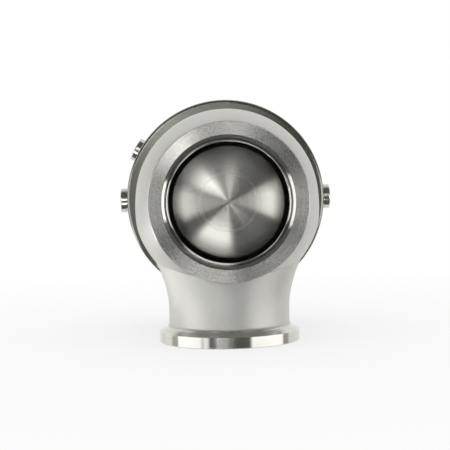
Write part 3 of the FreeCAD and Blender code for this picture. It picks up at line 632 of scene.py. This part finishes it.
def merged_copy(node, name):
    """Copy of a solid with its loose triangles joined, smooth except at real corners."""
    select_only(NODES[node])
    bpy.ops.object.duplicate()
    piece = bpy.context.active_object
    piece.name = name
    piece.data.name = name
    piece.pop("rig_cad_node", None)
    piece.parent = None
    select_only(piece)
    bpy.ops.mesh.customdata_custom_splitnormals_clear()
    bpy.ops.object.mode_set(mode="EDIT")
    bpy.ops.mesh.select_all(action="SELECT")
    bpy.ops.mesh.remove_doubles(threshold=MERGE_DISTANCE)
    bpy.ops.object.mode_set(mode="OBJECT")
    bpy.ops.object.shade_smooth_by_angle(angle=SMOOTH_ANGLE)
    return piece


def radius_about(point, axis, centre):
    offset = point - centre
    return (offset - offset.project(axis)).length


def zone_of(face):
    """Finish of a face of the housing: 0 cast, 1 turned with the inlet, 2 with the outlet."""
    place = face.center
    near_inlet = place.y < INLET_MACHINED_DEPTH
    if near_inlet and radius_about(place, VALVE_AXIS, INLET_CENTRE) < INLET_RIM_R + SLACK:
        return 1
    if place.y > REAR_PAD_START:
        return 1
    if place.z < FLOOR_Z + OUTLET_MACHINED_HEIGHT:
        return 2
    return 0


def draw_in_bulb(casting):
    """Slim the bulb about the valve axis, most where it is widest, and leave the neck as it is."""
    for vertex in casting.data.vertices:
        place = vertex.co
        radius = math.hypot(place.x, place.z)
        if radius < BULB_DRAW_START_R or place.y > REAR_PAD_START:
            continue
        above = (place.z - NECK_START_Z) / (NECK_CLEAR_Z - NECK_START_Z)
        above = min(1.0, max(0.0, above))
        share = (radius - BULB_DRAW_START_R) / (BULB_WIDEST_R - BULB_DRAW_START_R)
        move = BULB_DRAWN_IN * share**2 * above**2 * (3 - 2 * above)
        place.x *= 1 - move / radius
        place.z *= 1 - move / radius


class DressHousing(bpy.types.Operator):
    """Finish the cast housing, with its turned V-band flanges."""

    bl_idname = "wastegate.dress_housing"
    bl_label = "Cast housing"

    def execute(self, context):
        housing = merged_copy("valve_housing", "housing_casting")
        draw_in_bulb(housing)
        look = finish()
        housing.data.materials.clear()
        housing.data.materials.append(
            blasted_metal("cast_steel", look.cast_colour, metallic=0.8)
        )
        housing.data.materials.append(
            turned_metal("inlet_flange_steel", look.machined_colour, 0.26, 0.93, marks=1.0, cone=0.053)
        )
        housing.data.materials.append(
            turned_metal(
                "outlet_flange_steel",
                look.machined_colour,
                0.19,
                0.9,
                OUTLET_AXIS,
                OUTLET_CENTRE,
                line_depth=0.05,
            )
        )
        for face in housing.data.polygons:
            face.material_index = zone_of(face)
        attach(housing, "housing")
        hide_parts("valve_housing")
        return {"FINISHED"}


class DressSeat(bpy.types.Operator):
    """Finish the seat ring that sits in the inlet."""

    bl_idname = "wastegate.dress_seat"
    bl_label = "Seat ring"

    def execute(self, context):
        ring = turned_metal(
            "seat_steel",
            finish().machined_colour,
            0.11,
            0.8,
            cone=0.577,
            line_depth=0.03,
            # Painted shade, with some soot, inside the throat bore: 31.8 mm radius and less is drawn
            # at 0.22 of its colour.
            shade_and_soot_radii=(0.0318, 0.0320),
            shade_and_soot_tones=(0.22, 1.0),
        )
        dress("valve_seat", ring)
        return {"FINISHED"}


class DressValve(bpy.types.Operator):
    """Finish the valve, with its turned face."""

    bl_idname = "wastegate.dress_valve"
    bl_label = "Valve"

    def execute(self, context):
        face = turned_metal(
            "valve_steel",
            finish().valve_colour,
            0.265,
            0.975,
            crown=6.0,
            edge=3100.0,
            # Painted shade, with some soot, on the valve's rim beyond 29.2 to 29.9 mm, where it lies
            # deep in the throat.
            shade_and_soot_radii=(0.0292, 0.0299),
            shade_and_soot_tones=(1.0, 0.22),
            lines=5000.0,
            line_depth=0.012,
            shade=0.06,
        )
        dress("valve", face)
        return {"FINISHED"}


class DressGuides(bpy.types.Operator):
    """Finish the valve guide, the stem bush and the heat gasket."""

    bl_idname = "wastegate.dress_guides"
    bl_label = "Guides and gasket"

    def execute(self, context):
        bronze = turned_metal("guide_bronze", (0.55, 0.38, 0.20), 0.3, 0.6)
        dress("valve_guide", bronze)
        dress("stem_bush", bronze)
        dress("heat_gasket", plain_part("gasket_sheet", (0.20, 0.19, 0.18), 0.6, 0.4))
        return {"FINISHED"}


class DressActuator(bpy.types.Operator):
    """Finish the actuator's turned aluminium body, cap and carrier."""

    bl_idname = "wastegate.dress_actuator"
    bl_label = "Actuator body and cap"

    def execute(self, context):
        colour = finish().actuator_colour
        anodised = turned_metal("turned_aluminium", colour, 0.24, 0.75, line_depth=0.1, shade=0.05)
        dress("actuator_body", anodised)
        dress("actuator_cap", anodised)
        plain = turned_metal("bare_aluminium", (0.72, 0.72, 0.70), 0.32, 0.6)
        for node in ("bush_carrier", "diaphragm_plate", "spring_cup"):
            dress(node, plain)
        return {"FINISHED"}


class DressFasteners(bpy.types.Operator):
    """Finish the screws, washers, nut, plugs and snap rings."""

    bl_idname = "wastegate.dress_fasteners"
    bl_label = "Fasteners and plugs"

    def execute(self, context):
        polished = blasted_metal("polished_plug_steel", finish().plug_colour, 0.14, depth=0.05)
        dress("coolant_plugs", polished)
        dress("signal_plug", polished)
        black = plain_part("black_oxide_steel", (0.035, 0.035, 0.04), 0.42, 0.8)
        dress("body_screws", black)
        dress("cap_lock_ring", black)
        plated = plain_part("zinc_plated_steel", (0.55, 0.55, 0.53), 0.3, 1.0)
        for node in ("body_washers", "stem_washer", "stem_nut"):
            dress(node, plated)
        dress("carrier_clip", plain_part("spring_steel", (0.30, 0.30, 0.31), 0.35, 1.0))
        return {"FINISHED"}


class DressSeals(bpy.types.Operator):
    """Finish the O-rings and the stem seal."""

    bl_idname = "wastegate.dress_seals"
    bl_label = "Seals"

    def execute(self, context):
        rubber = plain_part("seal_rubber", (0.022, 0.022, 0.024), 0.55)
        for node in ("stem_seal", "carrier_o_rings", "cap_o_ring", "plug_o_rings"):
            dress(node, rubber)
        return {"FINISHED"}


def keep_faces(piece, wanted):
    """Delete the faces whose centre the test doesn't want."""
    select_only(piece)
    bpy.ops.object.mode_set(mode="EDIT")
    bpy.ops.mesh.select_mode(type="FACE")
    bpy.ops.mesh.select_all(action="DESELECT")
    bpy.ops.object.mode_set(mode="OBJECT")
    for face in piece.data.polygons:
        face.select = not wanted(face.center)
    bpy.ops.object.mode_set(mode="EDIT")
    bpy.ops.mesh.delete(type="FACE")
    bpy.ops.object.mode_set(mode="OBJECT")


class DressDiaphragm(bpy.types.Operator):
    """Rolling diaphragm: its rim stays clamped with the housing, and its wall is kept as a piece of
    its own.
    """

    bl_idname = "wastegate.dress_diaphragm"
    bl_label = "Diaphragm"

    def execute(self, context):
        rubber = plain_part("diaphragm_rubber", (0.05, 0.03, 0.025), 0.6)
        crown_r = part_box("spring_cup")[1].x + DIAPHRAGM_ROLL_HALF

        def beyond_crown(point):
            return math.hypot(point.x, point.z) > crown_r

        rim = merged_copy("diaphragm", "diaphragm_rim")
        wall = merged_copy("diaphragm", "diaphragm_wall")
        keep_faces(rim, beyond_crown)
        keep_faces(wall, lambda point: not beyond_crown(point))
        for skin in (rim, wall):
            skin.data.materials.clear()
            skin.data.materials.append(rubber)
            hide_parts("diaphragm")
        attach(rim, "housing")
        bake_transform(wall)
        return {"FINISHED"}


class DressSprings(bpy.types.Operator):
    """The two closing springs, as smooth copies in oiled spring steel."""

    bl_idname = "wastegate.dress_springs"
    bl_label = "Closing springs"

    def execute(self, context):
        steel = plain_part("oiled_spring_steel", (0.16, 0.16, 0.17), 0.32, 1.0)
        for node in ("spring_outer", "spring_inner"):
            coil = merged_copy(node, node + "_coil")
            coil.data.materials.clear()
            coil.data.materials.append(steel)
            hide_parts(node)
            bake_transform(coil)
        return {"FINISHED"}


# ---- Studio ----
def seen_by_camera_or_gloss(tree):
    path = tree.add("ShaderNodeLightPath")
    seen = tree.math("ADD", path.outputs["Is Camera Ray"], path.outputs["Is Glossy Ray"])
    seen = tree.math("ADD", seen, path.outputs["Is Transmission Ray"])
    return tree.math("MINIMUM", seen, 1.0)


def floor_material():
    """Pale floor, lifted towards white, that still shows a soft shadow."""
    material, tree = bare_material("studio_floor")
    paint = tree.add("ShaderNodeBsdfDiffuse")
    paint.inputs["Color"].default_value = FLOOR_TONE
    light = tree.add("ShaderNodeEmission")
    mix = tree.add("ShaderNodeMixShader")
    place = tree.add("ShaderNodeTexCoord").outputs["Object"]
    lift = tree.ranged(tree.vector("LENGTH", place), *FLOOR_LIFT_RADII, *FLOOR_LIFT)
    tree.feed(mix.inputs[0], tree.math("MULTIPLY", seen_by_camera_or_gloss(tree), lift))
    tree.feed(mix.inputs[1], paint.outputs[0])
    tree.feed(mix.inputs[2], light.outputs[0])
    tree.feed(tree.add("ShaderNodeOutputMaterial").inputs["Surface"], mix.outputs[0])
    return material


def make_world():
    world = bpy.data.worlds.new("studio_world")
    bpy.context.scene.world = world
    world.use_nodes = True
    tree = Tree(world.node_tree)
    tree.nodes.clear()
    back = tree.add("ShaderNodeBackground")
    back.inputs["Color"].default_value = (1, 1, 1, 1)
    lift = tree.ranged(seen_by_camera_or_gloss(tree), 0.0, 1.0, studio().ambient_level, 1.0)
    tree.feed(back.inputs["Strength"], lift)
    tree.feed(tree.add("ShaderNodeOutputWorld").inputs["Surface"], back.outputs[0])


def direction(clock, off_axis):
    """Unit vector from the inlet: clock counted from +X towards +Z, off_axis from the valve axis."""
    turn, lean = math.radians(clock), math.radians(off_axis)
    return Vector(
        (math.sin(lean) * math.cos(turn), -math.cos(lean), math.sin(lean) * math.sin(turn))
    )


# Cards and softboxes that the metal reflects:
# clock, degrees off the valve axis, degrees across, degrees along, brightness, tint
WHITE = (1.0, 1.0, 0.985)
WARM = (1.0, 0.93, 0.84)
CARDS = {
    "top_card": (90, 102, 22, 23, 0.5, WHITE),
    "fill_card": (81, 16, 8, 18, 1.6, WHITE),
    "side_card": (3, 40, 24, 13, 2.6, WHITE),
    "left_side_card": (184, 41, 22, 10, 1.7, WHITE),
    "right_softbox": (-4, 67.5, 28, 56, 1.75, WHITE),
    "left_softbox": (182, 71.5, 40, 47, 1.6, WHITE),
    "key_near_card": (127, 13, 7.5, 10, 4.2, WHITE),
    "key_softbox": (141, 25, 14, 13, 3.4, WHITE),
    "floor_glow": (251.5, 34.5, 27.5, 15, 3.9, WHITE),
    "floor_edge": (204, 101, 11, 59, 2.4, WHITE),
    "grey_card": (188, 14, 14, 18, 0.5, WHITE),
}
# How bright the walls are, by the angle from the front over half a turn
ROOM_BANDS = (
    (0.000, None, WHITE),
    (0.541, None, WHITE),
    (0.547, 0.40, WARM),
    (0.608, 0.42, WARM),
    (0.614, 0.88, WHITE),
    (1.000, 0.92, WHITE),
)


def room_material():
    """The room as polished metal sees it: dim in front, pale behind, with bright cards."""
    material, tree = bare_material("studio_room")
    place = tree.add("ShaderNodeTexCoord").outputs["Object"]
    facing = tree.vector("NORMALIZE", place)
    split = tree.add("ShaderNodeSeparateXYZ")
    tree.feed(split.inputs[0], facing)
    ahead = tree.math("MULTIPLY", split.outputs[1], -1.0)
    round_about = tree.math("ABSOLUTE", tree.math("ARCTAN2", split.outputs[0], ahead))
    ramp = tree.add("ShaderNodeValToRGB")
    tree.feed(ramp.inputs[0], tree.math("DIVIDE", round_about, math.pi))
    stops = ramp.color_ramp.elements
    while len(stops) < len(ROOM_BANDS):
        stops.new(0.5)
    for stop, (where, level, tint) in zip(stops, ROOM_BANDS):
        stop.position = where
        level = studio().room_level if level is None else level
        stop.color = (*[level * part for part in tint], 1)
    colour = ramp.outputs[0]
    for clock, off_axis, across, along, level, tint in CARDS.values():
        outward = direction(clock, off_axis + 90)
        centre = direction(clock, off_axis)
        card = use_group(
            tree,
            "card_shape",
            Direction=facing,
            Centre=tuple(centre),
            Across=tuple(outward.cross(centre)),
            Along=tuple(outward),
            Half_across=math.tan(math.radians(across / 2)),
            Half_along=math.tan(math.radians(along / 2)),
        )
        colour = tree.mixed(card["Mask"], colour, (*[level * part for part in tint], 1))
    light = tree.add("ShaderNodeEmission")
    tree.feed(light.inputs["Color"], colour)
    tree.feed(tree.add("ShaderNodeOutputMaterial").inputs["Surface"], light.outputs[0])
    material.cycles.emission_sampling = "NONE"
    return material


def add_lamp(name, clock, off_axis, size, level):
    """Square area lamp that points at the object and isn't seen in the metal."""
    light = bpy.data.lights.new(name, "AREA")
    light.size = size
    light.energy = studio().lamp_level * level * math.pi * size * size
    holder = bpy.data.objects.new(name, light)
    bpy.context.scene.collection.objects.link(holder)
    holder.location = direction(clock, off_axis) * LAMP_DISTANCE
    holder.rotation_mode = "QUATERNION"
    holder.rotation_quaternion = holder.location.to_track_quat("Z", "Y")
    holder.visible_glossy = False


# Area lamps: clock, degrees off the valve axis, width, brightness
LAMPS = {
    "right_lamp": (30, 66, 0.9, 1.0),
    "left_lamp": (150, 66, 0.9, 1.0),
    "overhead_lamp": (90, 95, 1.3, 1.6),
}


class BuildStage(bpy.types.Operator):
    """Floor, room with its cards, lamps, world and camera."""

    bl_idname = "wastegate.build_stage"
    bl_label = "Studio"

    def execute(self, context):
        bpy.context.scene.view_settings.view_transform = "Standard"
        bpy.ops.object.select_all(action="DESELECT")
        bpy.ops.mesh.primitive_plane_add(size=FLOOR_SIZE, location=(0, 0, FLOOR_Z))
        floor = context.active_object
        floor.name = "studio_floor"
        floor.data.materials.append(floor_material())
        bpy.ops.object.select_all(action="DESELECT")
        bpy.ops.mesh.primitive_uv_sphere_add(segments=48, ring_count=24, radius=ROOM_RADIUS)
        room = context.active_object
        room.name = "studio_room"
        room.data.materials.append(room_material())
        room.visible_camera = False
        room.visible_diffuse = False
        room.visible_shadow = False
        floor.visible_glossy = False
        for name, (clock, off_axis, size, level) in LAMPS.items():
            add_lamp(name, clock, off_axis, size, level)
        make_world()
        self.add_camera(context)
        return {"FINISHED"}

    def add_camera(self, context):
        look = studio()
        lens = bpy.data.cameras.new("camera")
        lens.lens = look.lens
        camera = bpy.data.objects.new("camera", lens)
        context.scene.collection.objects.link(camera)
        turn, down = look.camera_right, look.camera_down
        ahead = Vector(
            (math.sin(turn) * math.cos(down), math.cos(turn) * math.cos(down), -math.sin(down))
        )
        aim = ahead.to_track_quat("-Z", "Y") @ Quaternion((0, 0, 1), look.camera_roll)
        camera.rotation_mode = "QUATERNION"
        camera.location = look.camera_place
        camera.rotation_quaternion = aim
        context.scene.camera = camera


class WastegatePanel(bpy.types.Panel):
    """Lists the pieces and the studio in the sidebar."""

    bl_idname = "VIEW3D_PT_wastegate"
    bl_label = "Wastegate"
    bl_space_type = "VIEW_3D"
    bl_region_type = "UI"
    bl_category = "Wastegate"

    def draw(self, context):
        for operator in OPERATORS:
            self.layout.operator(operator.bl_idname)
        for settings in (finish(), studio()):
            for name in settings.__annotations__:
                self.layout.prop(settings, name)


OPERATORS = (
    BuildStage,
    DressHousing,
    DressSeat,
    DressValve,
    DressGuides,
    DressActuator,
    DressFasteners,
    DressSeals,
    DressDiaphragm,
    DressSprings,
)
CLASSES = (FinishSettings, StudioSettings, *OPERATORS, WastegatePanel)


def register():
    for cls in CLASSES:
        bpy.utils.register_class(cls)
    bpy.types.Scene.wastegate_finish = bpy.props.PointerProperty(type=FinishSettings)
    bpy.types.Scene.wastegate_studio = bpy.props.PointerProperty(type=StudioSettings)


def unregister():
    del bpy.types.Scene.wastegate_studio
    del bpy.types.Scene.wastegate_finish
    for cls in reversed(CLASSES):
        bpy.utils.unregister_class(cls)


def main():
    register()
    for make_group in GROUP_MAKERS:
        make_group()
    for operator in OPERATORS:
        group, name = operator.bl_idname.split(".")
        getattr(getattr(bpy.ops, group), name)()


if __name__ == "__main__":
    main()
